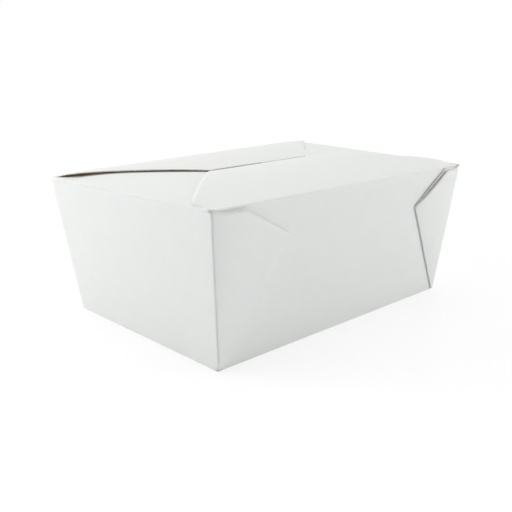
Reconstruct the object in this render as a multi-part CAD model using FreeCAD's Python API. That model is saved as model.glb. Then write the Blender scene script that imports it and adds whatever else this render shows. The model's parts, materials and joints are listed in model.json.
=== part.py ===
import FreeCAD, Part

import math
import os

from FreeCAD import Matrix, Placement, Vector

# A fold-to-go food box, folded from one sheet of coated board. Millimetres.
# X runs along the long faces, Y across, Z up; the origin is the middle of the base.
BOARD = 0.45
MOUTH_LENGTH = 216.0
MOUTH_WIDTH = 160.0
BASE_LENGTH = 197.0
BASE_WIDTH = 140.0
HEIGHT = 89.0
FOLD_RADIUS = 0.3

# How far sheets run over one another where they are joined, what a fold needs beyond its
# arc, and how far a trimming block reaches past what it trims.
LAP = 3.6
FOLD_MARGIN = 0.15
CUT_REACH = 15.0

# The web corners: a pleat of two leaves, laid on the outside of the long face.
LEAF_GAP = 0.3
LEAF_LEAN = 4.0
WRAP_RADIUS = 1.0
WEB_FOLD_LENGTH = 80.0
WEB_TOP_DROP = 0.8
WEB_SHOULDER_IN = 19.5
WEB_SHOULDER_DROP = 6.3
TURN_FLAT = 0.12

# The long flaps: each has a knee near the corner, then a slanting cut to the free edge.
# Both bow up from their folds, a little more at the right end of the box.
KNEE_IN = 5.0
KNEE_OUT = 21.0
FLAP_CUT_ANGLE = 45.0
FRONT_ROOT_IN = 1.0
FRONT_DEPTH = 96.0
FRONT_CROWN = 56.0
FRONT_RISE = (4.6, 5.3)
TUCK_ROOT_IN = 3.0
TUCK_DEPTH = 78.0
TUCK_CROWN = 54.0
TUCK_RISE = (5.6, 7.0)
CREASE_GAP = 0.5

# The tongue of the tuck flap, and the slit in the front flap that it passes through.
TONGUE_WIDTH = 29.0
TONGUE_OFF_CENTRE = 15.5
TONGUE_DROP = 9.0
TONGUE_CORNER = 4.0
SLIT_CLEARANCE = 0.4
TONGUE_SWING = 0.5

# The end flaps, left and right, which fold in first and lie lowest.
END_ROOT_IN = 6.0
END_EAR_OUT = 10.0
END_EAR_IN = 22.0
END_SHOULDER_OUT = 30.0
END_TIP_IN = 34.0
END_DEPTH = 74.0
END_CROWN = (38.0, 34.0)
END_RISE = (3.2, 3.7)

OUTER_RADIUS = FOLD_RADIUS + BOARD
FOLD_ROOM = OUTER_RADIUS + FOLD_MARGIN
HALF_LENGTH = MOUTH_LENGTH / 2
HALF_WIDTH = MOUTH_WIDTH / 2
HALF_BASE_LENGTH = BASE_LENGTH / 2
HALF_BASE_WIDTH = BASE_WIDTH / 2
LONG_LEAN = (HALF_WIDTH - HALF_BASE_WIDTH) / HEIGHT
END_LEAN = (HALF_LENGTH - HALF_BASE_LENGTH) / HEIGHT
WALL_TOP = HEIGHT - OUTER_RADIUS
HINGE_Y = HALF_WIDTH - BOARD / 2

AXIS_X = Vector(1, 0, 0)
AXIS_Y = Vector(0, 1, 0)
AXIS_Z = Vector(0, 0, 1)


def flat(points):
    """Points of a drawing, as vectors in its own plane."""
    return [Vector(a, b, 0) for a, b in points]


def drawing_plane(origin, right, up, normal):
    """Where a flat drawing lies in space. The three axes are right-handed."""
    return Matrix(
        right.x, up.x, normal.x, origin.x,
        right.y, up.y, normal.y, origin.y,
        right.z, up.z, normal.z, origin.z,
        0, 0, 0, 1,
    )


def across_at(x):
    """The plane across the box at x: right is +Y and up is +Z."""
    return drawing_plane(AXIS_X * x, AXIS_Y, AXIS_Z, AXIS_X)


def along_at(y):
    """The plane along the box at y: right is -X and up is +Z."""
    return drawing_plane(AXIS_Y * y, AXIS_X * -1, AXIS_Z, AXIS_Y)


def plan_at(z):
    """The level plane at z: right is +X and up is +Y."""
    return drawing_plane(AXIS_Z * z, AXIS_X, AXIS_Y, AXIS_Z)


def prism(wire, plane, length):
    """A straight solid on a closed drawing, standing off its plane."""
    solid = Part.Face(wire).extrude(AXIS_Z * length)
    solid.Placement = Placement(plane)
    return solid


def outline(points):
    return Part.makePolygon(points + points[:1])


def moved_aside(points, distance):
    """A folded line moved to its right-hand side, with its corners mitred."""
    normals = []
    for start, end in zip(points, points[1:]):
        along = (end - start).normalize()
        normals.append(Vector(along.y, -along.x, 0))
    before = normals[:1] + normals
    after = normals + normals[-1:]
    return [p + (a + b) * (distance / (1 + a.dot(b))) for p, a, b in zip(points, before, after)]


def rounded(points, radii):
    """Edges of a folded line: straight runs joined by tangent arcs at the folds."""
    edges = []
    start = points[0]
    for before, corner, after, radius in zip(points, points[1:], points[2:], radii):
        back = (before - corner).normalize()
        ahead = (after - corner).normalize()
        half_angle = back.getAngle(ahead) / 2
        inward = (back + ahead).normalize()
        first = corner + back * (radius / math.tan(half_angle))
        last = corner + ahead * (radius / math.tan(half_angle))
        middle = corner + inward * (radius / math.sin(half_angle) - radius)
        edges.append(Part.makeLine(start, first))
        edges.append(Part.Arc(first, middle, last).toShape())
        start = last
    edges.append(Part.makeLine(start, points[-1]))
    return edges


def board_section(points, radii):
    """Section of folded board. The points are its outer skin, and every fold turns right."""
    inner = moved_aside(points, BOARD)
    skin = rounded(points, radii)
    end_cap = Part.makeLine(points[-1], inner[-1])
    inner_skin = rounded(inner, [radius - BOARD for radius in radii])
    start_cap = Part.makeLine(inner[0], points[0])
    return Part.Wire(skin + [end_cap] + inner_skin[::-1] + [start_cap])


def bowed(fold, inward, crown, rise, depth):
    """Knee, free edge and knee radius of a flap that bows up from its fold."""
    root_slope = 2 * math.atan(rise / crown)
    bow_radius = crown / math.sin(root_slope)
    end_slope = math.asin((depth - crown) / bow_radius)
    half_turn = (root_slope + end_slope) / 2
    run = bow_radius * math.tan(half_turn)
    knee = fold + Vector(inward * run * math.cos(root_slope), run * math.sin(root_slope), 0)
    free_edge = knee + Vector(inward * run * math.cos(end_slope), -run * math.sin(end_slope), 0)
    return [knee, free_edge], (run - FOLD_ROOM) / math.tan(half_turn)


def between(sections, planes):
    """A sheet from one section to another, straight from each point to its fellow."""
    placed = []
    for section, plane in zip(sections, planes):
        section.Placement = Placement(plane)
        placed.append(section)
    return Part.makeLoft(placed, True, True)


def mirrored_x(points):
    return [Vector(-p.x, p.y, 0) for p in points]


def long_flap_outline(root_in, depth, fold_y, inward, past):
    """Plan of a long flap, from one end of its fold, by the free edge, to the other."""
    knee_x = HALF_LENGTH - KNEE_IN
    edge_x = knee_x - (depth - KNEE_OUT) * math.tan(math.radians(FLAP_CUT_ANGLE))
    right_half = flat([
        (HALF_LENGTH - root_in, fold_y - inward * OUTER_RADIUS),
        (HALF_LENGTH - root_in, fold_y),
        (knee_x, fold_y + inward * KNEE_OUT),
        (edge_x, fold_y + inward * depth),
        (edge_x, fold_y + inward * (depth + past)),
    ])
    return outline(right_half + mirrored_x(right_half)[::-1])


def long_walls():
    """Both long walls and the base between them, up to the folds of the flaps."""
    section = board_section(flat([
        (HALF_WIDTH - LONG_LEAN * CREASE_GAP, HEIGHT - CREASE_GAP),
        (HALF_BASE_WIDTH, 0),
        (-HALF_BASE_WIDTH, 0),
        (-HALF_WIDTH + LONG_LEAN * OUTER_RADIUS, WALL_TOP),
    ]), [OUTER_RADIUS] * 2)
    sheet = prism(section, across_at(-MOUTH_LENGTH), 2 * MOUTH_LENGTH)
    foot = HALF_BASE_LENGTH - LEAF_GAP - 2 * OUTER_RADIUS
    head = foot + END_LEAN * HEIGHT
    sides = outline(flat([(-foot, 0), (foot, 0), (head, HEIGHT), (-head, HEIGHT)]))
    return sheet.common(prism(sides, along_at(-MOUTH_WIDTH), 2 * MOUTH_WIDTH))


def front_flap():
    """The long flap with the slit, folded from the front wall."""
    fold = Vector(-HALF_WIDTH, HEIGHT, 0)
    lap = fold + Vector(LONG_LEAN * LAP, -LAP, 0)
    sections = []
    for rise in FRONT_RISE:
        bow, bow_radius = bowed(fold, 1, FRONT_CROWN, rise, FRONT_DEPTH)
        sections.append(board_section([lap, fold] + bow, [OUTER_RADIUS, bow_radius]))
    sheet = between(sections, (across_at(-HALF_LENGTH), across_at(HALF_LENGTH)))
    plan = long_flap_outline(FRONT_ROOT_IN, FRONT_DEPTH, -HALF_WIDTH, 1, OUTER_RADIUS)
    flap = sheet.common(prism(plan, plan_at(0), 2 * HEIGHT))
    return flap.cut(slit())


def tongue_face_y():
    """The outer face of the tongue, which is also the free edge that it hangs from."""
    return HINGE_Y - TUCK_DEPTH


def slit():
    """The cut that the tongue passes through, as wide as its swing needs."""
    low_y = tongue_face_y() - SLIT_CLEARANCE - TONGUE_SWING
    high_y = tongue_face_y() + BOARD + SLIT_CLEARANCE
    length = TONGUE_WIDTH + 2 * SLIT_CLEARANCE
    left = TONGUE_OFF_CENTRE - length / 2
    return Part.makeBox(length, high_y - low_y, HEIGHT, Vector(left, low_y, HEIGHT / 2))


def end_wall():
    """The right end wall with a lap on the base, up to the fold of its flap."""
    section = board_section(mirrored_x(flat([
        (HALF_BASE_LENGTH - LAP, 0),
        (HALF_BASE_LENGTH, 0),
        (HALF_LENGTH - END_LEAN * OUTER_RADIUS, WALL_TOP),
    ])), [OUTER_RADIUS])
    sheet = prism(section, along_at(-MOUTH_WIDTH), 2 * MOUTH_WIDTH)
    foot = HALF_BASE_WIDTH + LEAF_GAP
    head = HALF_WIDTH + LEAF_GAP
    sides = outline(flat([(-foot, 0), (foot, 0), (head, HEIGHT), (-head, HEIGHT)]))
    wall = sheet.common(prism(sides, across_at(HALF_BASE_LENGTH - OUTER_RADIUS), MOUTH_LENGTH))
    lap_width = BASE_WIDTH - 2 * LEAF_GAP
    lap = Part.makeBox(LAP, lap_width, BOARD, Vector(HALF_BASE_LENGTH - LAP, -lap_width / 2, 0))
    return wall.fuse(sheet.common(lap))


def end_flap(crown, rise):
    """The right end flap, narrowed so that it lies under both long flaps."""
    fold = Vector(HALF_LENGTH, HEIGHT, 0)
    lap = fold - Vector(END_LEAN * LAP, LAP, 0)
    bow, bow_radius = bowed(fold, -1, crown, rise, END_DEPTH)
    section = board_section(mirrored_x([lap, fold] + bow), [OUTER_RADIUS, bow_radius])
    sheet = prism(section, along_at(-MOUTH_WIDTH), 2 * MOUTH_WIDTH)
    back_half = flat([
        (HALF_LENGTH + OUTER_RADIUS, HALF_WIDTH - END_ROOT_IN),
        (HALF_LENGTH, HALF_WIDTH - END_ROOT_IN),
        (HALF_LENGTH - END_EAR_OUT, HALF_WIDTH - END_EAR_IN),
        (HALF_LENGTH - END_SHOULDER_OUT, HALF_WIDTH - END_TIP_IN),
        (HALF_LENGTH - END_DEPTH - OUTER_RADIUS, HALF_WIDTH - END_TIP_IN),
    ])
    plan = outline(back_half + [Vector(p.x, -p.y, 0) for p in back_half[::-1]])
    return sheet.common(prism(plan, plan_at(0), 2 * HEIGHT))


def web_corner():
    """The pleat at the left end of the front wall: two leaves, folded out of one web."""
    foot = Vector(-HALF_BASE_LENGTH, -HALF_BASE_WIDTH, 0)
    head = Vector(-HALF_LENGTH, -HALF_WIDTH, HEIGHT)
    edge_length = (head - foot).Length
    edge = (head - foot).normalize()
    out = AXIS_X.cross(edge).normalize()
    inboard = edge.cross(out)
    end_back = edge.cross(AXIS_Y).normalize().cross(edge)

    lean = math.radians(LEAF_LEAN)
    leaf = out * math.sin(lean) + inboard * math.cos(lean)
    leaf_out = out * math.cos(lean) - inboard * math.sin(lean)
    half_web = (1.5 * math.pi - edge.getAngle(AXIS_X) - edge.getAngle(AXIS_Y)) / 2
    fold = edge * math.cos(half_web) + leaf * math.sin(half_web)
    past_fold = leaf * math.cos(half_web) - edge * math.sin(half_web)

    # Sections square to the corner edge: right is out of the long face, up is along it.
    square_to_edge = drawing_plane(foot - edge * LAP, out, inboard, edge)
    length = edge_length + LAP
    leaf_way = Vector(math.sin(lean), math.cos(lean), 0)
    leaf_normal = Vector(math.cos(lean), -math.sin(lean), 0)
    span = WEB_FOLD_LENGTH * math.sin(half_web)
    turn_in = BOARD + LEAF_GAP / 2
    turn_radius = turn_in - TURN_FLAT / 2
    first_turn = Vector(BOARD + LEAF_GAP, turn_in, 0)
    second_turn = Vector(-BOARD, turn_in, 0)
    inner_path = [first_turn + leaf_way * span, first_turn, second_turn, second_turn + Vector(0, LAP, 0)]
    inner_leaf = prism(board_section(inner_path, [turn_radius] * 2), square_to_edge, length)

    inner_level = first_turn.dot(leaf_normal)
    outer_level = inner_level + LEAF_GAP + BOARD
    end_way = Vector(end_back.dot(out), end_back.dot(inboard), 0)
    wrap = end_way * (outer_level / end_way.dot(leaf_normal))
    outer_path = [wrap + leaf_way * span, wrap, end_way * LAP]
    outer_leaf = prism(board_section(outer_path, [WRAP_RADIUS]), square_to_edge, length)

    # The middle fold, square to its own line: right is out of the leaves, up is past it.
    square_to_fold = drawing_plane(foot, leaf_out, past_fold, fold)
    near_level = inner_level - BOARD
    fold_path = flat([(near_level, -LAP), (near_level, 0), (outer_level, 0), (outer_level, -LAP)])
    middle_fold = prism(board_section(fold_path, [turn_radius] * 2), square_to_fold, edge_length)
    past_edge = Part.makeBox(2 * CUT_REACH, CUT_REACH, 2 * length, Vector(-CUT_REACH, -CUT_REACH, -LAP))
    past_edge.Placement = Placement(square_to_edge)
    middle_fold = middle_fold.cut(past_edge)
    past_middle = outline(flat([
        (near_level - LEAF_GAP / 2, -LAP / 2),
        (outer_level + LEAF_GAP, -LAP / 2),
        (outer_level + LEAF_GAP, span),
        (near_level - LEAF_GAP / 2, span),
    ]))
    trim = prism(past_middle, drawing_plane(foot - fold * LAP, leaf_out, past_fold, fold), 2 * length)
    pleat = inner_leaf.fuse(outer_leaf).cut(trim).fuse(middle_fold)

    # The cut edges at the top, drawn on the leaf: right is along it, up is the corner edge.
    shoulder = Vector(WEB_SHOULDER_IN, edge_length - WEB_SHOULDER_DROP, 0)
    tip = Vector(math.sin(half_web), math.cos(half_web), 0) * WEB_FOLD_LENGTH
    beyond = tip + (tip - shoulder).normalize() * CUT_REACH
    top = edge_length + LAP
    waste = outline([
        Vector(-LAP, edge_length - WEB_TOP_DROP, 0),
        Vector(0, edge_length - WEB_TOP_DROP, 0),
        shoulder, tip, beyond,
        Vector(beyond.x, top, 0),
        Vector(-LAP, top, 0),
    ])
    waste_plane = drawing_plane(foot - leaf_out * CUT_REACH, leaf, edge, leaf_out)
    pleat = pleat.cut(prism(waste, waste_plane, 2 * CUT_REACH))
    below = Part.makeBox(MOUTH_LENGTH, MOUTH_WIDTH, HEIGHT, Vector(-MOUTH_LENGTH, -MOUTH_WIDTH, -HEIGHT))
    return pleat.cut(below)


def carton():
    """Everything that the sheet folds into, apart from the tuck flap."""
    flip_x = (Vector(), AXIS_X)
    flip_y = (Vector(), AXIS_Y)
    left_web = web_corner()
    front_webs = [left_web, left_web.mirror(*flip_x)]
    back_webs = [web.mirror(*flip_y) for web in front_webs]
    right_end = end_wall().fuse(end_flap(END_CROWN[1], END_RISE[1]))
    left_end = end_wall().fuse(end_flap(END_CROWN[0], END_RISE[0])).mirror(*flip_x)
    pieces = [front_flap(), left_end, right_end] + front_webs + back_webs
    return long_walls().fuse(pieces).removeSplitter()


def tuck_flap():
    """The long flap that closes the box, with its tongue, as a body of its own."""
    hinge = Vector(HINGE_Y, HEIGHT, 0)
    sections = []
    for rise in TUCK_RISE:
        root_slope = 2 * math.atan(rise / TUCK_CROWN)
        root = hinge + Vector(math.sin(root_slope), math.cos(root_slope), 0) * (BOARD / 2)
        bow, bow_radius = bowed(root, -1, TUCK_CROWN, rise, root.x - tongue_face_y())
        tongue_end = Vector(tongue_face_y(), HEIGHT - TONGUE_DROP, 0)
        section = board_section(mirrored_x([root] + bow + [tongue_end]), [bow_radius, OUTER_RADIUS])
        sections.append(section)
    facing_back = [
        drawing_plane(AXIS_X * x, AXIS_Y * -1, AXIS_Z, AXIS_X * -1) for x in (-HALF_LENGTH, HALF_LENGTH)
    ]
    sheet = between(sections, facing_back)
    plan = long_flap_outline(TUCK_ROOT_IN, TUCK_DEPTH, HINGE_Y, -1, OUTER_RADIUS)
    flap = sheet.common(prism(plan, plan_at(0), 2 * HEIGHT))

    # Only the tongue goes past the free edge and down.
    free_y = tongue_face_y() + FOLD_ROOM
    tongue_left = TONGUE_OFF_CENTRE - TONGUE_WIDTH / 2
    for x, length in ((-MOUTH_LENGTH, MOUTH_LENGTH + tongue_left),
                      (tongue_left + TONGUE_WIDTH, MOUTH_LENGTH)):
        flap = flap.cut(Part.makeBox(length, CUT_REACH, 2 * HEIGHT, Vector(x, free_y - CUT_REACH, 0)))
    flap = flap.cut(tongue_corners())
    bead = Part.makeCylinder(BOARD / 2, 2 * (HALF_LENGTH - TUCK_ROOT_IN),
                             Vector(TUCK_ROOT_IN - HALF_LENGTH, HINGE_Y, HEIGHT), AXIS_X)
    return flap.fuse(bead).removeSplitter()


def tongue_corners():
    """What is trimmed off to leave the round lower corners of the tongue."""
    end = HEIGHT - TONGUE_DROP
    block = Part.makeBox(TONGUE_WIDTH, 2 * LAP, 2 * TONGUE_CORNER,
                         Vector(TONGUE_OFF_CENTRE - TONGUE_WIDTH / 2, tongue_face_y() - LAP, end))
    lower = [edge for edge in block.Edges
             if edge.BoundBox.ZMax < end + BOARD and edge.BoundBox.XLength < BOARD]
    return block.cut(block.makeFillet(TONGUE_CORNER, lower))


def main():
    os.makedirs("parts", exist_ok=True)
    for name, make in (("carton", carton), ("tuck_flap", tuck_flap)):
        shape = make()
        print(name, shape.ShapeType, "solids", len(shape.Solids), "valid", shape.isValid(),
              "volume", round(shape.Volume), "faces", len(shape.Faces))
        shape.Solids[0].exportStep(f"parts/{name}.step")


if __name__ == "__main__":
    main()
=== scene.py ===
# %% [markdown]
# # A fold-to-go food box
#
# The real box is one sheet of white coated paperboard. A die cuts and creases it flat, and
# the box is folded by hand, with no glue: four walls stand up from the base, the spare board
# at each corner is folded into a pleat on the outside, and four flaps close the top.
#
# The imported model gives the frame: two bodies, `carton` and `tuck_flap`, and the hinge
# between them. Everything here is drawn in the same place and at the same size.

# %% Load the frame
import json
import math
from collections import namedtuple

import bpy
import numpy as np
from mathutils import Matrix, Vector


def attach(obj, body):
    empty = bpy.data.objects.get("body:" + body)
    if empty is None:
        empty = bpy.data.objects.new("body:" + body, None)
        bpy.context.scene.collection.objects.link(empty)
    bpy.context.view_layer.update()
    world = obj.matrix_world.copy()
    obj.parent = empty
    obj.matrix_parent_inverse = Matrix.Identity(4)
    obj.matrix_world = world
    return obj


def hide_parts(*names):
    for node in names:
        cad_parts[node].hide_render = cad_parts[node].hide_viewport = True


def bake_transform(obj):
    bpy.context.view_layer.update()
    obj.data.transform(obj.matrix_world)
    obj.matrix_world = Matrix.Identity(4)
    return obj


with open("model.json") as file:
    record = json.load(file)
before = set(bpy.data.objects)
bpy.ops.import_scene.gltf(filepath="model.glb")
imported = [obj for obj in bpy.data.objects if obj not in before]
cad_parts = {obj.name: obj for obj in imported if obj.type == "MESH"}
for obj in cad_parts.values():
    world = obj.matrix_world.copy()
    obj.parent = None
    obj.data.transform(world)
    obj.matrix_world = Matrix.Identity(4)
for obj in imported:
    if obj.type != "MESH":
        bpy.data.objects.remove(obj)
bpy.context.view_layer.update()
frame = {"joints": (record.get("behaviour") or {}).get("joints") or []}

HINGE = [joint for joint in frame["joints"] if joint["name"] == "tuck_flap_fold"][0]
print("hinge at", HINGE["pos_m"], "turns", HINGE["range_deg"], "degrees")

# %% [markdown]
# ## The sizes of the sheet
#
# Sizes are in millimetres, because a box maker thinks in them, and they become metres only
# when a mesh is made. The mouth, base and height are the trade's number 4 box. Board of this
# kind is measured in points, thousandths of an inch: 18 point is 0.45 mm. A fold is bent
# round 0.3 mm, so the outside of it has a radius of 0.75 mm.

# %% Sizes of the box
MM = 0.001
BOARD = 0.45
HALF_LENGTH = 108.0
HALF_WIDTH = 80.0
HALF_BASE_LENGTH = 98.5
HALF_BASE_WIDTH = 70.0
HEIGHT = 89.0
FOLD = 0.75
LONG_LEAN = (HALF_WIDTH - HALF_BASE_WIDTH) / HEIGHT
END_LEAN = (HALF_LENGTH - HALF_BASE_LENGTH) / HEIGHT

# %% [markdown]
# ## Coated paperboard
#
# The board is bleached fibre with a thin plastic coat on both sides, rolled smooth. It looks
# white and faintly warm, with a soft sheen rather than a gloss. The fibres under the coat
# leave a fine mottle, and damp and drying leave a slow waviness that the sheen picks up. A
# little light comes through it, so the board under another board is never black.
#
# The cut edge has no coat: it is the raw, creamier core, with loose fibres. Real fibres are a
# few hundredths of a millimetre across, too fine for this picture, so both materials draw
# them coarser, at 0.6 mm.

# %% Materials
WAVE_SIZE, FIBRE_SIZE, FIBRE_STRENGTH = 26.0, 0.6, 0.35
SHEEN = 0.25
GLOW_THROUGH = "#FFEBD2"


def linear(hex_colour):
    """An sRGB hex colour as linear red, green, blue and alpha."""
    parts = [int(hex_colour[i:i + 2], 16) / 255 for i in (1, 3, 5)]
    return [c / 12.92 if c <= 0.04045 else ((c + 0.055) / 1.055) ** 2.4 for c in parts] + [1.0]


def node(tree, kind, settings=None, **inputs):
    """Adds a node, with its settings and with values or links for its inputs."""
    made = tree.nodes.new(kind)
    for name, value in (settings or {}).items():
        setattr(made, name, value)
    for name, value in inputs.items():
        key = name.replace("_", " ")
        socket = [s for s in made.inputs if s.name == key and s.enabled][0]
        if isinstance(value, bpy.types.NodeSocket):
            tree.links.new(value, socket)
        else:
            socket.default_value = value
    return made


def output(made, name=None):
    """The node's output of that name, or its first one in use."""
    return [s for s in made.outputs if s.enabled and (name is None or s.name == name)][0]


def paperboard(name, light, dark, roughness, mottle_size, wave_height, fibre_height, translucent):
    """Mottle in the colour, and slow waves and fine fibres as low bumps. Sizes are in mm."""
    material = bpy.data.materials.new(name)
    material.use_nodes = True
    tree = material.node_tree
    shader = tree.nodes["Principled BSDF"]
    place = output(node(tree, "ShaderNodeTexCoord"), "Object")
    mottle = node(tree, "ShaderNodeTexNoise", Vector=place, Scale=1 / (mottle_size * MM),
                  Detail=3.0)
    tint = node(tree, "ShaderNodeMix", {"data_type": "RGBA"}, Factor=output(mottle, "Fac"),
                A=linear(light), B=linear(dark))
    tree.links.new(output(tint), shader.inputs["Base Color"])
    waves = node(tree, "ShaderNodeTexNoise", Vector=place, Scale=1 / (WAVE_SIZE * MM),
                 Detail=1.0)
    wavy = node(tree, "ShaderNodeBump", Height=output(waves, "Fac"), Strength=1.0,
                Distance=wave_height * MM)
    fibres = node(tree, "ShaderNodeTexNoise", Vector=place, Scale=1 / (FIBRE_SIZE * MM),
                  Detail=4.0)
    relief = node(tree, "ShaderNodeBump", Height=output(fibres, "Fac"), Strength=FIBRE_STRENGTH,
                  Distance=fibre_height * MM, Normal=output(wavy))
    tree.links.new(output(relief), shader.inputs["Normal"])
    shader.inputs["Roughness"].default_value = roughness
    shader.inputs["Specular IOR Level"].default_value = SHEEN
    shader.inputs["IOR"].default_value = 1.5
    through = node(tree, "ShaderNodeBsdfTranslucent", Color=linear(GLOW_THROUGH))
    body = node(tree, "ShaderNodeMixShader", Fac=translucent)
    tree.links.new(shader.outputs["BSDF"], body.inputs[1])
    tree.links.new(output(through), body.inputs[2])
    tree.links.new(output(body), tree.nodes["Material Output"].inputs["Surface"])
    return material


board_face = paperboard("coated_white_board", "#F0F3F2", "#ECEFEE", roughness=0.6,
                        mottle_size=9.0, wave_height=0.25, fibre_height=0.02, translucent=0.12)
board_edge = paperboard("raw_cut_edge", "#F4F1E8", "#E9E4D6", roughness=0.85,
                        mottle_size=1.2, wave_height=0.05, fibre_height=0.05, translucent=0.2)
print("materials:", board_face.name, board_edge.name)

# %% [markdown]
# ## Board as patches
#
# Folded board is easiest to draw as patches: grids of points that share their borders. Only
# the outside skin of the board is drawn, and Blender's Solidify gives it its thickness on the
# inner side, so both skins and the raw cut edge come out right everywhere, even in a pleat.
# Rows and columns run so that the outside skin faces outwards.
#
# A box folded by hand is never true. This one's rim is twisted by less than a millimetre,
# two opposite corners up and two down, and its walls bow out a little, so both are put into
# every point as the sheet becomes an object.

# %% A sheet made of patches
TWIST = 0.9
WALL_BOW = 0.5
WELD_GAP = 0.03
FOLD_STEPS = 6


def folded_by_hand(points):
    """The points with the box's slight twist, and with its walls bowed outwards."""
    x, y, z = np.asarray(points, float).T
    up_wall = np.sin(math.pi * np.clip(z / HEIGHT, 0, 1)) * WALL_BOW
    out_x = x / HALF_BASE_LENGTH * np.cos(math.pi * y / (2 * HALF_WIDTH)) * up_wall
    out_y = y / HALF_BASE_WIDTH * np.cos(math.pi * x / (2 * HALF_LENGTH)) * up_wall
    lift = TWIST * x * y / (HALF_LENGTH * HALF_WIDTH) * z / HEIGHT
    return np.array([x + out_x, y + out_y, z + lift]).T


class Sheet:
    """The outside skin of folded board, gathered patch by patch."""

    def __init__(self):
        self.points = []
        self.faces = []

    def patch(self, rows, keep=None):
        """Adds a grid of points. keep, where given, says which of its cells are board."""
        rows = np.asarray(rows, float)
        first = len(self.points)
        count, across = rows.shape[:2]
        self.points.extend(rows.reshape(-1, 3))
        for i in range(count - 1):
            for j in range(across - 1):
                if keep is None or keep(i, j):
                    corner = first + i * across + j
                    self.faces.append((corner, corner + 1, corner + across + 1, corner + across))

    def add_mesh(self, mesh):
        """Adds the faces of a finished mesh, which is in metres."""
        first = len(self.points)
        self.points.extend(np.array(v.co) / MM for v in mesh.vertices)
        self.faces.extend(tuple(first + i for i in p.vertices) for p in mesh.polygons)

    def object(self, name, shape=folded_by_hand):
        """Welds the patches into one object, in metres."""
        mesh = bpy.data.meshes.new(name)
        mesh.from_pydata([tuple(p * MM) for p in shape(self.points)], [], self.faces)
        piece = bpy.data.objects.new(name, mesh)
        bpy.context.scene.collection.objects.link(piece)
        weld = piece.modifiers.new("weld", "WELD")
        weld.merge_threshold = WELD_GAP * MM
        return piece


def applied(piece):
    """Turns what the modifiers make into the piece's own mesh."""
    bpy.context.view_layer.update()
    evaluated = piece.evaluated_get(bpy.context.evaluated_depsgraph_get())
    mesh = bpy.data.meshes.new_from_object(evaluated)
    piece.modifiers.clear()
    piece.data = mesh
    return piece


def fillet(corner, back, ahead, radius):
    """Points of the round fold between two straight runs that meet at a corner."""
    corner, back, ahead = (np.asarray(v, float) for v in (corner, back, ahead))
    back = back / np.linalg.norm(back)
    ahead = ahead / np.linalg.norm(ahead)
    half = math.acos(float(np.clip(back @ ahead, -1, 1))) / 2
    reach = radius / math.tan(half)
    inward = (back + ahead) / np.linalg.norm(back + ahead)
    centre = corner + inward * radius / math.sin(half)
    first = corner + back * reach - centre
    last = corner + ahead * reach - centre
    turn = math.pi - 2 * half
    shares = np.linspace(0, 1, FOLD_STEPS + 1)
    mix = [(math.sin((1 - t) * turn), math.sin(t * turn)) for t in shares]
    return [centre + (a * first + b * last) / math.sin(turn) for a, b in mix]


# %% [markdown]
# ## The pleat at a corner
#
# The board between a long wall and an end wall is a web. It is folded in half and laid on
# the outside of the long wall: the end wall wraps round the corner and becomes the outer
# leaf, the middle fold turns it back as the inner leaf, and a tight turn at the corner joins
# that to the long wall. Water would have to climb over the top to get out.
#
# The leaves spring a little off the wall, and each pleat does it in its own way. The numbers
# say how far each leaf stands off at four stations along its cut top edge, from the corner by
# the shoulder to the middle fold. A fold made by hand is a little askew too, so the inner
# leaf looks out over the outer one by a millimetre or two. Each row of points is the top edge
# drawn smaller towards the foot of the corner, like ribs of a fan.
#
# The cut top edge lies a little under the rim, which leaves room for the fold of the flap
# above it. At the very corner the board runs on over the end, so the edge rises there.
#
# Sizes are in millimetres again: WRAP is the radius round the corner, TURN_IN the setback of
# the tight turn, and LEAF_GAP the room behind the inner leaf. Stations are shares of the way
# along the top edge. A pleat's shoulder and tip are places on the wall, along and down from
# the corner for the shoulder, along and up from the foot for the tip.

# %% Shape of the webs
WEB_TOP_DROP = 1.6
CORNER_RAISE, RAISED_TO = 1.3, 0.14
WRAP = 1.0
TURN_IN = 1.2
LEAF_GAP = 0.15
SHOULDER_STATION = 0.38
STATIONS = (0.0, SHOULDER_STATION, 0.69, 1.0)
FAN_FOOT = 0.014
FAN_ROWS = 34
LEAF_COLUMNS = 26

Pleat = namedtuple("Pleat", "shoulder tip outer_off inner_off inner_raise")
LEFT_PLEAT = Pleat(shoulder=(20.2, 4.6), tip=(51.4, 64.4), outer_off=(1.05, 2.2, 1.6, 1.2),
                   inner_off=(LEAF_GAP, 0.6, 0.4, 0.2), inner_raise=(0.0, 1.0, 0.4, 0.0))
RIGHT_PLEAT = Pleat(shoulder=(15.2, 3.8), tip=(42.4, 62.8), outer_off=(1.05, 2.4, 2.6, 1.25),
                    inner_off=(LEAF_GAP, 0.4, 0.6, 0.25), inner_raise=(0.0, 2.0, 1.4, 0.0))
CORNER_SPRING, SPRING_REACH, SPRING_FADE = 1.0, 0.15, 1.2

# At the left front corner: its foot and head, the way up its edge, out from the long wall,
# inboard along that wall, and back along the end wall.
foot = np.array((-HALF_BASE_LENGTH, -HALF_BASE_WIDTH, 0.0))
head = np.array((-HALF_LENGTH, -HALF_WIDTH, HEIGHT))
edge_length = np.linalg.norm(head - foot)
edge = (head - foot) / edge_length
out = np.cross((1, 0, 0), edge)
out /= np.linalg.norm(out)
inboard = np.cross(edge, out)
end_out = np.cross(edge, (0, 1, 0))
end_back = np.cross(end_out / np.linalg.norm(end_out), edge)
print("the corner edge is", round(edge_length, 1), "mm long")


def web_top(pleat, s):
    """A point of the cut top edge, from the corner (s = 0) by the shoulder to the fold (s = 1)."""
    corner = np.array((0.0, edge_length - WEB_TOP_DROP))
    shoulder = np.array((pleat.shoulder[0], edge_length - pleat.shoulder[1]))
    if s < SHOULDER_STATION:
        return corner + (shoulder - corner) * s / SHOULDER_STATION
    return shoulder + (pleat.tip - shoulder) * (s - SHOULDER_STATION) / (1 - SHOULDER_STATION)


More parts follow.
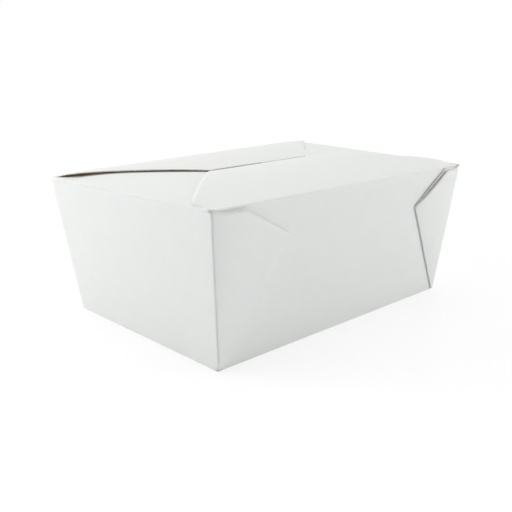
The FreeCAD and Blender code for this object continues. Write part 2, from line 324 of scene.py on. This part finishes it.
def stand_off(offs, s, r, spring=0.0):
    """How far a leaf stands off the wall: a smooth line through the stations, less lower down.

    The board of the outer leaf stays curved beside its fold, which is the spring."""
    stations = np.array(STATIONS)
    rest = np.polyfit(stations, offs - spring * (1 - np.exp(-stations / SPRING_REACH)), 3)
    full = np.polyval(rest, s) + spring * (1 - math.exp(-s / SPRING_REACH))
    return offs[0] + (full - offs[0]) * r ** SPRING_FADE


def outer_off(pleat, s, r):
    """How far the outer leaf stands off the wall."""
    return stand_off(pleat.outer_off, s, r, CORNER_SPRING)


def leaf_point(pleat, s, r, off, setback, raised=0.0):
    """A point of a leaf: s along its top edge, r up from the foot, and off the wall."""
    along, up = web_top(pleat, s) * r
    return foot + inboard * (setback + along) + edge * (up + raised * r) + out * off


# %% [markdown]
# One row of a pleat is the path of the board at one height. It starts on the end wall, wraps
# round the corner, runs out along the outer leaf, turns at the middle fold, comes back along
# the inner leaf, and turns down on to the long wall. Every row has as many points as the
# next, so the rows make one grid.

# %% One pleat, from the end wall round to the long wall
FIRST_STATION = 0.02
MIDDLE_FOLD_STEPS, TIGHT_TURN_STEPS = 7, 5


def pleat_row(pleat, r):
    """The points of one row, at r of the way up from the foot."""
    outer_up = edge * r * (edge_length - WEB_TOP_DROP)
    rise = outer_off(pleat, FIRST_STATION, r) - pleat.outer_off[0]
    slope = rise / (web_top(pleat, FIRST_STATION)[0] * r)
    wrap_way = -np.array((end_back @ out, end_back @ inboard))
    reach = (pleat.outer_off[0] - slope * WRAP) / (wrap_way[0] - slope * wrap_way[1])
    wrap = fillet(wrap_way * reach, -wrap_way, (slope, 1), WRAP)
    lifts = [0.0] + [CORNER_RAISE * r] * (len(wrap) - 1)
    row = [foot + outer_up + out * q + inboard * p + edge * lift
           for (q, p), lift in zip(wrap, lifts)]
    stations = np.linspace(0, 1, LEAF_COLUMNS + 1)
    for s in stations[1:]:
        lift = CORNER_RAISE * max(0.0, 1 - s / RAISED_TO)
        row.append(leaf_point(pleat, s, r, outer_off(pleat, s, r), WRAP, lift))

    # The middle fold, a half turn about its own line.
    outer_end = row[-1]
    inner_end = leaf_point(pleat, 1, r, stand_off(pleat.inner_off, 1, r), WRAP)
    centre = (outer_end + inner_end) / 2
    radius = np.linalg.norm(outer_end - inner_end) / 2
    fold_way = math.atan2(*pleat.tip)
    past_fold = inboard * math.cos(fold_way) - edge * math.sin(fold_way)
    for angle in np.linspace(0, math.pi, MIDDLE_FOLD_STEPS + 1)[1:-1]:
        row.append(centre + radius * (out * math.cos(angle) + past_fold * math.sin(angle)))
    row.append(inner_end)
    slide = TURN_IN - WRAP
    for s in stations[::-1][1:]:
        raised = np.interp(s, STATIONS, pleat.inner_raise)
        setback = WRAP + slide * (1 - s)
        row.append(leaf_point(pleat, s, r, stand_off(pleat.inner_off, s, r), setback, raised))

    # The tight turn at the corner, down on to the long wall.
    turn_centre = foot + outer_up + inboard * TURN_IN + out * LEAF_GAP / 2
    for angle in np.linspace(0, math.pi, TIGHT_TURN_STEPS + 1)[1:]:
        way = out * math.cos(angle) - inboard * math.sin(angle)
        row.append(turn_centre + way * LEAF_GAP / 2)
    return row


fan = np.linspace(FAN_FOOT, 1, FAN_ROWS)
left_rows = np.array([pleat_row(LEFT_PLEAT, r) for r in fan])
right_rows = np.array([pleat_row(RIGHT_PLEAT, r) for r in fan])
end_border = {-1: left_rows[:, 0], 1: right_rows[:, 0]}
long_border = left_rows[:, -1]
pleat_sheet = Sheet()
pleat_sheet.patch(left_rows)
pleat_sheet.patch(right_rows[:, ::-1] * (-1, 1, 1))
pleats = pleat_sheet.object("pleats", shape=np.array)
print("the two front pleats have", len(pleats.data.polygons), "faces")

# %% [markdown]
# The back of the box has the same two pleats again. Geometry Nodes make them: a Transform
# with a scale of -1 from front to back, and Flip Faces, because a mirror turns the skin
# inside out. Written this way, a change to the front pleats reaches the back ones.

# %% Four pleats from two, with Geometry Nodes
def mirror_tree():
    """The node tree that adds a mirrored copy, and the identifier of its Mirror input."""
    tree = bpy.data.node_groups.new("front_to_back", "GeometryNodeTree")
    tree.interface.new_socket("Geometry", in_out="INPUT", socket_type="NodeSocketGeometry")
    mirror = tree.interface.new_socket("Mirror", in_out="INPUT", socket_type="NodeSocketFloat")
    tree.interface.new_socket("Geometry", in_out="OUTPUT", socket_type="NodeSocketGeometry")
    given = node(tree, "NodeGroupInput")
    scale = node(tree, "ShaderNodeCombineXYZ", X=1.0, Y=output(given, "Mirror"), Z=1.0)
    back = node(tree, "GeometryNodeTransform", Geometry=output(given, "Geometry"),
                Scale=output(scale))
    turned = node(tree, "GeometryNodeFlipFaces", Mesh=output(back))
    all_four = node(tree, "GeometryNodeJoinGeometry")
    tree.links.new(output(given, "Geometry"), all_four.inputs[0])
    tree.links.new(output(turned), all_four.inputs[0])
    real = node(tree, "GeometryNodeRealizeInstances", Geometry=output(all_four))
    dressed = node(tree, "GeometryNodeSetMaterial", Geometry=output(real), Material=board_face)
    result = node(tree, "NodeGroupOutput")
    tree.links.new(output(dressed), result.inputs[0])
    return tree, mirror.identifier


mirrored = pleats.modifiers.new("front_to_back", "NODES")
mirrored.node_group, mirror_socket = mirror_tree()
mirrored[mirror_socket] = -1.0
applied(pleats)
print("four pleats have", len(pleats.data.polygons), "faces")

# %% [markdown]
# ## Walls, base and flaps
#
# The walls take their side borders from the pleats, so that the skin runs on round each
# corner. The base, both long walls and the front flap are one run of rows from the back rim
# to the flap's free edge, and each end wall with its end flap is another.
#
# The flaps are sprung: each rises steeply from its fold and then levels out, because the end
# flaps underneath push the long ones up. The box's right end is sprung more. An end flap
# can't rise through what lies on it, so its height is a soft minimum of its own curve and
# the undersides of the two long flaps.
#
# Near its fold a flap is nearly as wide as the box. Past the knee, 21 mm out, both sides are
# cut at about 45 degrees, so that the four flaps lie over each other like an envelope.
#
# A spring says how high a flap rises, how far out it levels, how steeply it starts and how
# far its free edge droops again. A curl says how far the side edges hang down, and over what
# distances that fades. Pairs are for the left and the right end of the box.

# %% Outlines and heights of the flaps
KNEE = HALF_LENGTH - 5.0
KNEE_OUT = 21.0
FRONT_DEPTH = 96.0
TUCK_DEPTH = 78.0
FRONT_ROOT_HALF = HALF_LENGTH - 0.7
FRONT_BEND = (15.5, HALF_LENGTH - 1.5)
TUCK_ROOT_HALF = HALF_LENGTH - 1.4
HINGE_LINE = HINGE["pos_m"][1] / MM

Spring = namedtuple("Spring", "rise crown power droop")
FRONT_SPRING = (Spring(4.6, 58.0, 1.6, 2.6), Spring(6.0, 58.0, 1.6, 5.5))
TUCK_SPRING = (Spring(5.3, 50.0, 3.4, 0.95), Spring(5.6, 42.0, 3.6, 1.7))
Curl = namedtuple("Curl", "drop fade reach")
FRONT_CURL = Curl(0.6, 40.0, 8.0)
TUCK_CURL = Curl(0.8, 100.0, 8.0)
CURL_START = 6.0
TUCK_SLANT = (1.09, 1.03)
END_SPRING = {-1: Spring(3.6, 38.0, 2.6, 0.9), 1: Spring(5.6, 34.0, 2.6, 3.2)}
END_TILT = {-1: 0.0, 1: 0.025}
END_DEPTH = 74.0
END_HALF_WIDTHS = ((0.0, 80.6), (1.4, 78.6), (4.0, 68.0), (10.0, 58.0), (30.0, 48.0),
                   (END_DEPTH, 46.0))
PRESS_GAP, PRESS_SOFTNESS = 0.06, 0.12
PRESS_FROM, PRESS_RAMP = 2.0, 4.0

TONGUE_MIDDLE, TONGUE_HALF, TONGUE_DROP = 15.5, 14.5, 9.0
TONGUE_CORNER = 4.0
TONGUE_PULL, PULL_REACH, PULL_FROM = 0.1, 24.0, 50.0
TONGUE_Y = HINGE_LINE - TUCK_DEPTH
SLIT_FRONT, SLIT_BACK, SLIT_SIDE = 0.5, 0.4, 0.4
SLIT_Y = (TONGUE_Y - SLIT_FRONT, TONGUE_Y + BOARD + SLIT_BACK)


def mixed(x, pair):
    """A value that changes evenly from the left end of the box to the right."""
    return pair[0] + (pair[1] - pair[0]) * (x + HALF_LENGTH) / (2 * HALF_LENGTH)


def sprung(spring, distance, length):
    """Height of a flap above the rim at a distance from its fold."""
    if distance < spring.crown:
        return spring.rise * (1 - (1 - distance / spring.crown) ** spring.power)
    return spring.rise - spring.droop * ((distance - spring.crown) / (length - spring.crown)) ** 2


def curled(curl, from_edge, depth):
    """How far a flap's side edge hangs below the rest of it, past its fold."""
    along = min(1.0, depth / CURL_START) * max(0.0, 1 - depth / curl.fade)
    return curl.drop * along * math.exp(-max(0.0, from_edge) / curl.reach)


def front_half(depth):
    """Half the width of the front flap at a distance from its fold."""
    if depth < KNEE_OUT:
        depths = (0, FRONT_BEND[0], KNEE_OUT)
        return float(np.interp(depth, depths, (FRONT_ROOT_HALF, FRONT_BEND[1], KNEE)))
    return KNEE - (depth - KNEE_OUT)


def tuck_x(s, depth):
    """Place across the tuck flap, from its left side (s = -1) to its right (s = 1)."""
    if depth < KNEE_OUT:
        return s * (TUCK_ROOT_HALF + (KNEE - TUCK_ROOT_HALF) * depth / KNEE_OUT)
    left, right = (KNEE - slant * (depth - KNEE_OUT) for slant in TUCK_SLANT)
    return (right - left) / 2 + s * (right + left) / 2


def front_rise(x, depth):
    """The front flap's own curve, with its side edges curled down."""
    rise = mixed(x, [sprung(spring, depth, FRONT_DEPTH) for spring in FRONT_SPRING])
    return rise - curled(FRONT_CURL, front_half(depth) - abs(x), depth)


def tuck_rise(x, depth):
    """The tuck flap's own curve, and the pull of its tongue near the middle of its free edge."""
    late = max(0.0, (depth - PULL_FROM) / (TUCK_DEPTH - PULL_FROM))
    pull = TONGUE_PULL * late ** 2 * math.exp(-((x - TONGUE_MIDDLE) / PULL_REACH) ** 2)
    curl = curled(TUCK_CURL, min(x - tuck_x(-1, depth), tuck_x(1, depth) - x), depth)
    return mixed(x, [sprung(spring, depth, TUCK_DEPTH) for spring in TUCK_SPRING]) - pull - curl


def end_rise(side, depth, y):
    """An end flap's own curve, kept under the two long flaps once it is clear of its fold."""
    x = side * (HALF_LENGTH - depth)
    tilt = 1 + END_TILT[side] * y / END_SPRING[side].rise
    own = sprung(END_SPRING[side], depth, END_DEPTH) * tilt
    under_front = front_rise(x, min(y + HALF_WIDTH, FRONT_SPRING[0].crown)) - BOARD - PRESS_GAP
    under_tuck = tuck_rise(x, min(HINGE_LINE - y, PULL_FROM)) - BOARD / 2 - PRESS_GAP
    heights = np.array((own, under_front, under_tuck))
    low = heights.min()
    soft = low - PRESS_SOFTNESS * math.log(np.exp(-(heights - low) / PRESS_SOFTNESS).sum())
    clear = float(np.clip((depth - PRESS_FROM) / PRESS_RAMP, 0, 1))
    return own + (soft - own) * clear * clear * (3 - 2 * clear)


def spaced(low, high, step, *through):
    """Even stations from low to high that pass through the given values."""
    stops = sorted({low, high, *through})
    counts = [max(2, 1 + round((b - a) / step)) for a, b in zip(stops, stops[1:])]
    runs = [np.linspace(a, b, count)[:-1] for a, b, count in zip(stops, stops[1:], counts)]
    return np.concatenate(runs + [[high]])


print("the slit lies", round(SLIT_Y[0] + HALF_WIDTH, 1), "mm from the front fold")

# %% [markdown]
# The long run of rows goes down the back wall, under the base, up the front wall, round the
# front fold and out to the flap's free edge. Its columns pass through both ends of the slit,
# and the slit is one row of cells left out.

# %% The run from the back rim to the front flap
COLUMN_STEP, ROW_STEP = 0.035, 2.5
END_COLUMN_STEP, END_ROW_STEP = 0.05, 2.0
TINY = 1e-6

slit_depths = [y + HALF_WIDTH for y in SLIT_Y]
slit_half = front_half(sum(slit_depths) / 2)
slit_sides = [(TONGUE_MIDDLE + way * (TONGUE_HALF + SLIT_SIDE)) / slit_half for way in (-1, 1)]
long_columns = spaced(-1, 1, COLUMN_STEP, *slit_sides)
bottom = fillet((HALF_BASE_WIDTH, 0), (LONG_LEAN, 1), (-1, 0), FOLD)
end_bottom = fillet((HALF_BASE_LENGTH, 0), (-1, 0), (END_LEAN, 1), FOLD)
base_half = -long_border[0][0] - END_LEAN * long_border[0][2]
end_columns = spaced(-1, 1, END_COLUMN_STEP)
base_y = end_columns * bottom[-1][0]
rim_start = HEIGHT - FOLD


def wall_half(z):
    """Half the length of the long walls at a height."""
    return -long_border[0][0] + END_LEAN * (z - long_border[0][2])


def across_row(half, y, z):
    """Points from the left end of the box to the right."""
    return np.array([(s * half, y, z) for s in long_columns])


long_rows = [across_row(wall_half(rim_start), HALF_WIDTH - LONG_LEAN * FOLD, rim_start)]
long_rows += [across_row(-p[0], -p[1], p[2]) for p in long_border[::-1]]
long_rows += [across_row(wall_half(z), y, z) for y, z in bottom]
long_rows += [across_row(base_half, y, 0) for y in base_y[::-1][1:-1]]
long_rows += [across_row(wall_half(z), -y, z) for y, z in bottom[::-1]]
long_rows += [across_row(-p[0], p[1], p[2]) for p in long_border]


def front_fold(x):
    """The round fold between the front wall and its flap, at one place along it."""
    slope = front_rise(x, FOLD) / FOLD
    return fillet((-HALF_WIDTH, HEIGHT), (LONG_LEAN, -1), (1, slope), FOLD)


fold_columns = [front_fold(s * FRONT_ROOT_HALF) for s in long_columns]
for step in range(len(fold_columns[0])):
    share = step / (len(fold_columns[0]) - 1)
    half = wall_half(rim_start) * (1 - share) + front_half(FOLD) * share
    around = zip(long_columns, fold_columns)
    long_rows.append(np.array([(s * half, *fold[step]) for s, fold in around]))

flap_start = fold_columns[0][-1][0] + HALF_WIDTH
for depth in spaced(flap_start, FRONT_DEPTH, ROW_STEP, FRONT_BEND[0], KNEE_OUT, *slit_depths)[1:]:
    if abs(depth - slit_depths[0]) < TINY:
        slit_row = len(long_rows)
    xs = long_columns * front_half(depth)
    long_rows.append(np.array([(x, depth - HALF_WIDTH, HEIGHT + front_rise(x, depth))
                               for x in xs]))
slit_cells = [j for j, s in enumerate(long_columns)
              if slit_sides[0] - TINY < s < slit_sides[1] - TINY]

carton_sheet = Sheet()
carton_sheet.patch(long_rows, keep=lambda i, j: not (i == slit_row and j in slit_cells))
carton_sheet.add_mesh(pleats.data)
bpy.data.objects.remove(pleats)
print("rows from the back rim to the free edge:", len(long_rows))

# %% [markdown]
# An end wall takes its side borders from the pleats as well. Its flap gets narrower from the
# fold on, so that it folds in freely beside the long walls, and ends in shoulders and a
# blunt tip.

# %% The end walls and end flaps
END_STOPS = (2.0, 4.0, 10.0, 30.0)


def end_width(distance):
    """Half the width of an end flap at a distance from its fold."""
    distances, halves = zip(*END_HALF_WIDTHS)
    return float(np.interp(distance, distances, halves))


def end_row(half, x, z):
    """Points across an end, from front to back at the right and back to front at the left."""
    return np.array([(x, t * half, z) for t in end_columns])


def add_end(side):
    """One end wall with its flap, drawn at the right and turned about for the left end."""
    turn = np.array((side, side, 1.0))
    rows = [end_row(bottom[-1][0], base_half, 0)]
    rows += [end_row(bottom[-1][0], x, z) for x, z in end_bottom]
    rows += [end_row(-p[1], -p[0], p[2]) for p in end_border[side]]
    slope = end_rise(side, FOLD, 0) / FOLD
    fold = fillet((HALF_LENGTH, HEIGHT), (-END_LEAN, -1), (-1, slope), FOLD)
    top = end_border[side][-1]
    lip = end_row(-top[1], -top[0] + END_LEAN * (fold[0][1] - top[2]), fold[0][1])
    lip[:, 1] = np.clip(lip[:, 1], -end_width(0), end_width(0))
    rows.append(lip)
    flap_rows = [end_row(end_width(0), x, z) for x, z in fold]
    for depth in spaced(HALF_LENGTH - fold[-1][0], END_DEPTH, END_ROW_STEP, *END_STOPS)[1:]:
        ys = end_columns * end_width(depth)
        heights = [HEIGHT + end_rise(side, depth, side * y) for y in ys]
        flap_rows.append(np.array([(HALF_LENGTH - depth, y, z) for y, z in zip(ys, heights)]))
    carton_sheet.patch(np.array(rows) * turn)
    carton_sheet.patch(np.array(flap_rows) * turn)


for side in (-1, 1):
    add_end(side)
print("carton skin has", len(carton_sheet.faces), "faces before welding")

# %% [markdown]
# ## Thickness
#
# Solidify grows the board inwards from its outside skin. Its rim gets a second material,
# because a cut edge of coated board shows the raw, creamier core.

# %% Give the board its thickness
def solid_board(piece):
    """Gives a skin the thickness of the board, with the second material on its rim."""
    thick = piece.modifiers.new("board", "SOLIDIFY")
    thick.thickness = BOARD * MM
    thick.offset = -1
    thick.use_rim = True
    thick.material_offset_rim = 1
    return piece


carton = solid_board(carton_sheet.object("carton_board"))
print("board of", BOARD, "mm on", carton.name)

# %% [markdown]
# ## The tuck flap
#
# The last flap to close is the one that opens first, so it is a piece of its own, hinged at
# the back rim. Its tongue goes down through the slit, and pulls the middle of the free edge
# down on to the front flap. It is drawn as rows from the fold to the free edge, and the
# tongue is more rows under its own columns.

# %% The tuck flap and its tongue
TONGUE_ROWS = 14
last_depth = TUCK_DEPTH - FOLD
last_middle = tuck_x(0, last_depth)
last_span = tuck_x(1, last_depth) - last_middle
tongue_sides = [(TONGUE_MIDDLE + way * TONGUE_HALF - last_middle) / last_span for way in (-1, 1)]
tuck_columns = spaced(-1, 1, COLUMN_STEP, *tongue_sides)[::-1]
in_tongue = [tongue_sides[0] - TINY <= s <= tongue_sides[1] + TINY for s in tuck_columns]


def tuck_height(x, depth):
    """Height of the tuck flap's outside over the table."""
    return HEIGHT + BOARD / 2 + tuck_rise(x, depth)


def tuck_row(depth):
    """Points across the tuck flap, from its right side to its left."""
    xs = [tuck_x(s, depth) for s in tuck_columns]
    return np.array([(x, HINGE_LINE - depth, tuck_height(x, depth)) for x in xs])


tuck_rows = [tuck_row(depth) for depth in spaced(FOLD, last_depth, ROW_STEP, KNEE_OUT)]
tuck_rows.append(tuck_row(TUCK_DEPTH))
before_edge = len(tuck_rows) - 2

tongue_columns = []
for s in np.array(tuck_columns)[in_tongue]:
    x = tuck_x(s, last_depth)
    start = tuck_height(x, last_depth)
    slope = (tuck_height(x, TUCK_DEPTH) - start) / FOLD
    turn = fillet((TUCK_DEPTH, start + slope * FOLD), (-1, -slope), (0, -1), FOLD)
    drop = np.linspace(turn[-1][1], HEIGHT - TONGUE_DROP, TONGUE_ROWS)[1:]
    line = [(last_depth, start)] + turn[1:] + [(TUCK_DEPTH, z) for z in drop]
    column = []
    for depth, z in line:
        above_end = max(0.0, z - (HEIGHT - TONGUE_DROP))
        rounding = max(0.0, TONGUE_CORNER - above_end)
        cut = TONGUE_CORNER - math.sqrt(TONGUE_CORNER ** 2 - rounding ** 2)
        share = 1 - cut / TONGUE_HALF
        column.append((TONGUE_MIDDLE + (x - TONGUE_MIDDLE) * share, HINGE_LINE - depth, z))
    tongue_columns.append(column)


def beside_tongue(i, j):
    """False for the cells of the last row that the tongue takes the place of."""
    return not (i == before_edge and in_tongue[j] and in_tongue[j + 1])


tuck_sheet = Sheet()
tuck_sheet.patch(tuck_rows, keep=beside_tongue)
tuck_sheet.patch(np.array(tongue_columns).transpose(1, 0, 2))
tuck = solid_board(tuck_sheet.object("tuck_flap_board"))
print("the tongue has", len(tongue_columns), "columns of points")

# %% [markdown]
# ## The crease of the tuck flap
#
# On the real box the scored board itself is the hinge. A narrow strip of board crosses from
# the back wall to the flap.

# %% The crease strip
CREASE_LINES, CREASE_STEPS = 61, 9
wall_point = np.array((HALF_WIDTH - LONG_LEAN * FOLD, rim_start))
crease_lines = []
for x in np.linspace(TUCK_ROOT_HALF, -TUCK_ROOT_HALF, CREASE_LINES):
    flap_point = np.array((HINGE_LINE - FOLD, tuck_height(x, FOLD)))
    slope = (tuck_height(x, 2 * FOLD) - tuck_height(x, FOLD)) / FOLD
    corner = np.array((HALF_WIDTH, flap_point[1] - slope * (HALF_WIDTH - flap_point[0])))
    bend = [(1 - t) ** 2 * wall_point + 2 * t * (1 - t) * corner + t * t * flap_point
            for t in np.linspace(0, 1, CREASE_STEPS)]
    crease_lines.append([(x, y, z) for y, z in bend])
crease_sheet = Sheet()
crease_sheet.patch(np.array(crease_lines).transpose(1, 0, 2))
crease = solid_board(crease_sheet.object("tuck_flap_crease"))
print("the crease strip starts", round(wall_point[1], 2), "mm up the back wall")

# %% [markdown]
# ## The pieces
#
# The outside and inside of the board are smooth, and the cut edge stays flat, so that it
# keeps its sharp corners. The carton and the tuck flap then take the places of their imported
# nodes and ride on those nodes' bodies. The crease keeps the place it is drawn in.

# %% Dress the pieces
for piece in (carton, tuck, crease):
    piece.data.materials.append(board_face)
    piece.data.materials.append(board_edge)
    applied(piece)
    for polygon in piece.data.polygons:
        polygon.use_smooth = polygon.material_index == 0
    print(piece.name, len(piece.data.polygons), "faces")

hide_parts("carton")
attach(carton, "carton")
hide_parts("tuck_flap")
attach(tuck, "tuck_flap")
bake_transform(crease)

# %% [markdown]
# ## Camera
#
# The camera stands in front of the left front corner and a little above the lid. Its place,
# its lens and a slight roll come from the box's own corners in the photograph.

# %% Camera
CAMERA_AZIMUTH = math.radians(-42.476)
CAMERA_ELEVATION = math.radians(15.77)
CAMERA_DISTANCE = 423.2
CAMERA_TARGET = (-38.62, -36.11, 45.0)
CAMERA_ROLL = math.radians(-0.908)
LENS, SENSOR = 49.563, 36.0
NEAREST = 0.01

# back_way points from the box to the camera.
back_way = Vector((math.sin(CAMERA_AZIMUTH) * math.cos(CAMERA_ELEVATION),
                   -math.cos(CAMERA_AZIMUTH) * math.cos(CAMERA_ELEVATION),
                   math.sin(CAMERA_ELEVATION)))
level_right = (-back_way).cross(Vector((0, 0, 1))).normalized()
level_up = level_right.cross(-back_way)
right = level_right * math.cos(CAMERA_ROLL) + level_up * math.sin(CAMERA_ROLL)
up = level_up * math.cos(CAMERA_ROLL) - level_right * math.sin(CAMERA_ROLL)
eye = (Vector(CAMERA_TARGET) + back_way * CAMERA_DISTANCE) * MM
lens = bpy.data.cameras.new("camera")
lens.lens = LENS
lens.sensor_width = SENSOR
lens.clip_start = NEAREST
camera = bpy.data.objects.new("camera", lens)
turned = Matrix((right, up, back_way)).transposed().to_4x4()
camera.matrix_world = Matrix.Translation(eye) @ turned
bpy.context.scene.collection.objects.link(camera)
bpy.context.scene.camera = camera
bpy.context.scene.view_settings.view_transform = "Standard"
print("camera", [round(c, 4) for c in camera.location], "lens", lens.lens)

# %% [markdown]
# ## Floor
#
# The floor is white and a little glossy. Near the box it keeps a shadow and a faint
# reflection, and further out it turns into pure white for the rays that look at it, so it
# has no horizon. It lies a tenth of a millimetre under the box.

# %% Floor
HALF_FLOOR = 3.0
UNDER_BOX = 0.0001
FLOOR_WHITE = 0.72
WHITE_FROM, WHITE_AT = 0.16, 0.42
FLOOR_ROUGHNESS, FLOOR_IOR = 0.2, 1.4

floor_mesh = bpy.data.meshes.new("floor")
floor_mesh.from_pydata([(x * HALF_FLOOR, y * HALF_FLOOR, -UNDER_BOX) for x, y in
                        ((-1, -1), (1, -1), (1, 1), (-1, 1))], [], [(0, 1, 2, 3)])
floor = bpy.data.objects.new("floor", floor_mesh)
bpy.context.scene.collection.objects.link(floor)


def seen_straight(tree):
    """1 for the rays that show a background, the camera, glossy and transmission rays, or 0."""
    rays = node(tree, "ShaderNodeLightPath")
    first = node(tree, "ShaderNodeMath", {"operation": "MAXIMUM"})
    tree.links.new(output(rays, "Is Camera Ray"), first.inputs[0])
    tree.links.new(output(rays, "Is Glossy Ray"), first.inputs[1])
    either = node(tree, "ShaderNodeMath", {"operation": "MAXIMUM"})
    tree.links.new(output(first), either.inputs[0])
    tree.links.new(output(rays, "Is Transmission Ray"), either.inputs[1])
    return output(either)


def white_floor():
    """White that keeps its shadow near the box, and looks pure white further out."""
    material = bpy.data.materials.new("white_floor")
    material.use_nodes = True
    tree = material.node_tree
    shader = tree.nodes["Principled BSDF"]
    shader.inputs["Base Color"].default_value = linear("#FFFFFF")
    shader.inputs["Roughness"].default_value = FLOOR_ROUGHNESS
    shader.inputs["IOR"].default_value = FLOOR_IOR
    glow = node(tree, "ShaderNodeEmission", Color=linear("#FFFFFF"), Strength=1.0)
    away = node(tree, "ShaderNodeVectorMath", {"operation": "LENGTH"},
                Vector=output(node(tree, "ShaderNodeTexCoord"), "Object"))
    white = node(tree, "ShaderNodeMapRange", Value=output(away, "Value"), From_Min=WHITE_FROM,
                 From_Max=WHITE_AT, To_Min=FLOOR_WHITE, To_Max=1.0)
    share = node(tree, "ShaderNodeMath", {"operation": "MULTIPLY"})
    tree.links.new(output(white), share.inputs[0])
    tree.links.new(seen_straight(tree), share.inputs[1])
    body = node(tree, "ShaderNodeMixShader", Fac=output(share))
    tree.links.new(shader.outputs["BSDF"], body.inputs[1])
    tree.links.new(output(glow), body.inputs[2])
    tree.links.new(output(body), tree.nodes["Material Output"].inputs["Surface"])
    return material


floor_mesh.materials.append(white_floor())
print("floor:", 2 * HALF_FLOOR, "metres square")

# %% [markdown]
# ## Light
#
# A product photograph of a white object uses a big soft light from all round, so that the
# faces differ only slightly. The dark side of the studio is behind the camera, so a face is
# darker the more it turns to the lens: the corner nearest to it is the darkest line.

# %% World
BRIGHT_SIDE, DARK_SIDE = 0.86, 0.0


def studio_world():
    """White to look at, but as a light it falls off towards the camera's side."""
    world = bpy.data.worlds.new("studio")
    world.use_nodes = True
    sky = world.node_tree
    sky.nodes.clear()
    to_camera = node(sky, "ShaderNodeVectorMath", {"operation": "DOT_PRODUCT"})
    sky.links.new(output(node(sky, "ShaderNodeTexCoord"), "Generated"), to_camera.inputs[0])
    to_camera.inputs[1].default_value = back_way
    level = node(sky, "ShaderNodeMapRange", Value=output(to_camera, "Value"), From_Min=-1.0,
                 From_Max=1.0, To_Min=BRIGHT_SIDE, To_Max=DARK_SIDE)
    light = node(sky, "ShaderNodeBackground", Color=linear("#FFFFFF"), Strength=output(level))
    seen = node(sky, "ShaderNodeBackground", Color=linear("#FFFFFF"), Strength=1.0)
    either = node(sky, "ShaderNodeMixShader", Fac=seen_straight(sky))
    sky.links.new(output(light), either.inputs[1])
    sky.links.new(output(seen), either.inputs[2])
    result = node(sky, "ShaderNodeOutputWorld")
    sky.links.new(output(either), result.inputs["Surface"])
    return world


bpy.context.scene.world = studio_world()
print("world light from", DARK_SIDE, "behind the camera to", BRIGHT_SIDE, "beyond the box")

# %% [markdown]
# A round soft box stands at each side, level with the box or a little over it, and one very
# wide light hangs overhead, so that the lid is the brightest face.

# %% Lamps
OVERHEAD_LEVEL, OVERHEAD_SPREAD = 0.43, 70


def soft_box(name, turn, height, distance, size, level):
    """A round lamp. turn is in degrees round from the camera, level in parts of full light."""
    light_data = bpy.data.lights.new(name, "AREA")
    light_data.shape = "DISK"
    light_data.size = size
    light_data.energy = level * (math.pi * distance) ** 2
    round_way = CAMERA_AZIMUTH + math.radians(turn)
    up_angle = math.radians(height)
    way = Vector((math.sin(round_way) * math.cos(up_angle),
                  -math.cos(round_way) * math.cos(up_angle), math.sin(up_angle)))
    holder = bpy.data.objects.new(name, light_data)
    holder.rotation_euler = way.to_track_quat("Z", "Y").to_euler()
    holder.location = way * distance
    bpy.context.scene.collection.objects.link(holder)


soft_box("left_light", turn=-90, height=25, distance=1.0, size=0.7, level=0.565)
soft_box("right_light", turn=84, height=10, distance=1.2, size=0.9, level=0.54)

overhead = bpy.data.lights.new("overhead_light", "SUN")
overhead.energy = OVERHEAD_LEVEL * math.pi
overhead.angle = math.radians(OVERHEAD_SPREAD)
bpy.context.scene.collection.objects.link(bpy.data.objects.new("overhead_light", overhead))
print("lamps:", [lamp.name for lamp in bpy.data.lights])
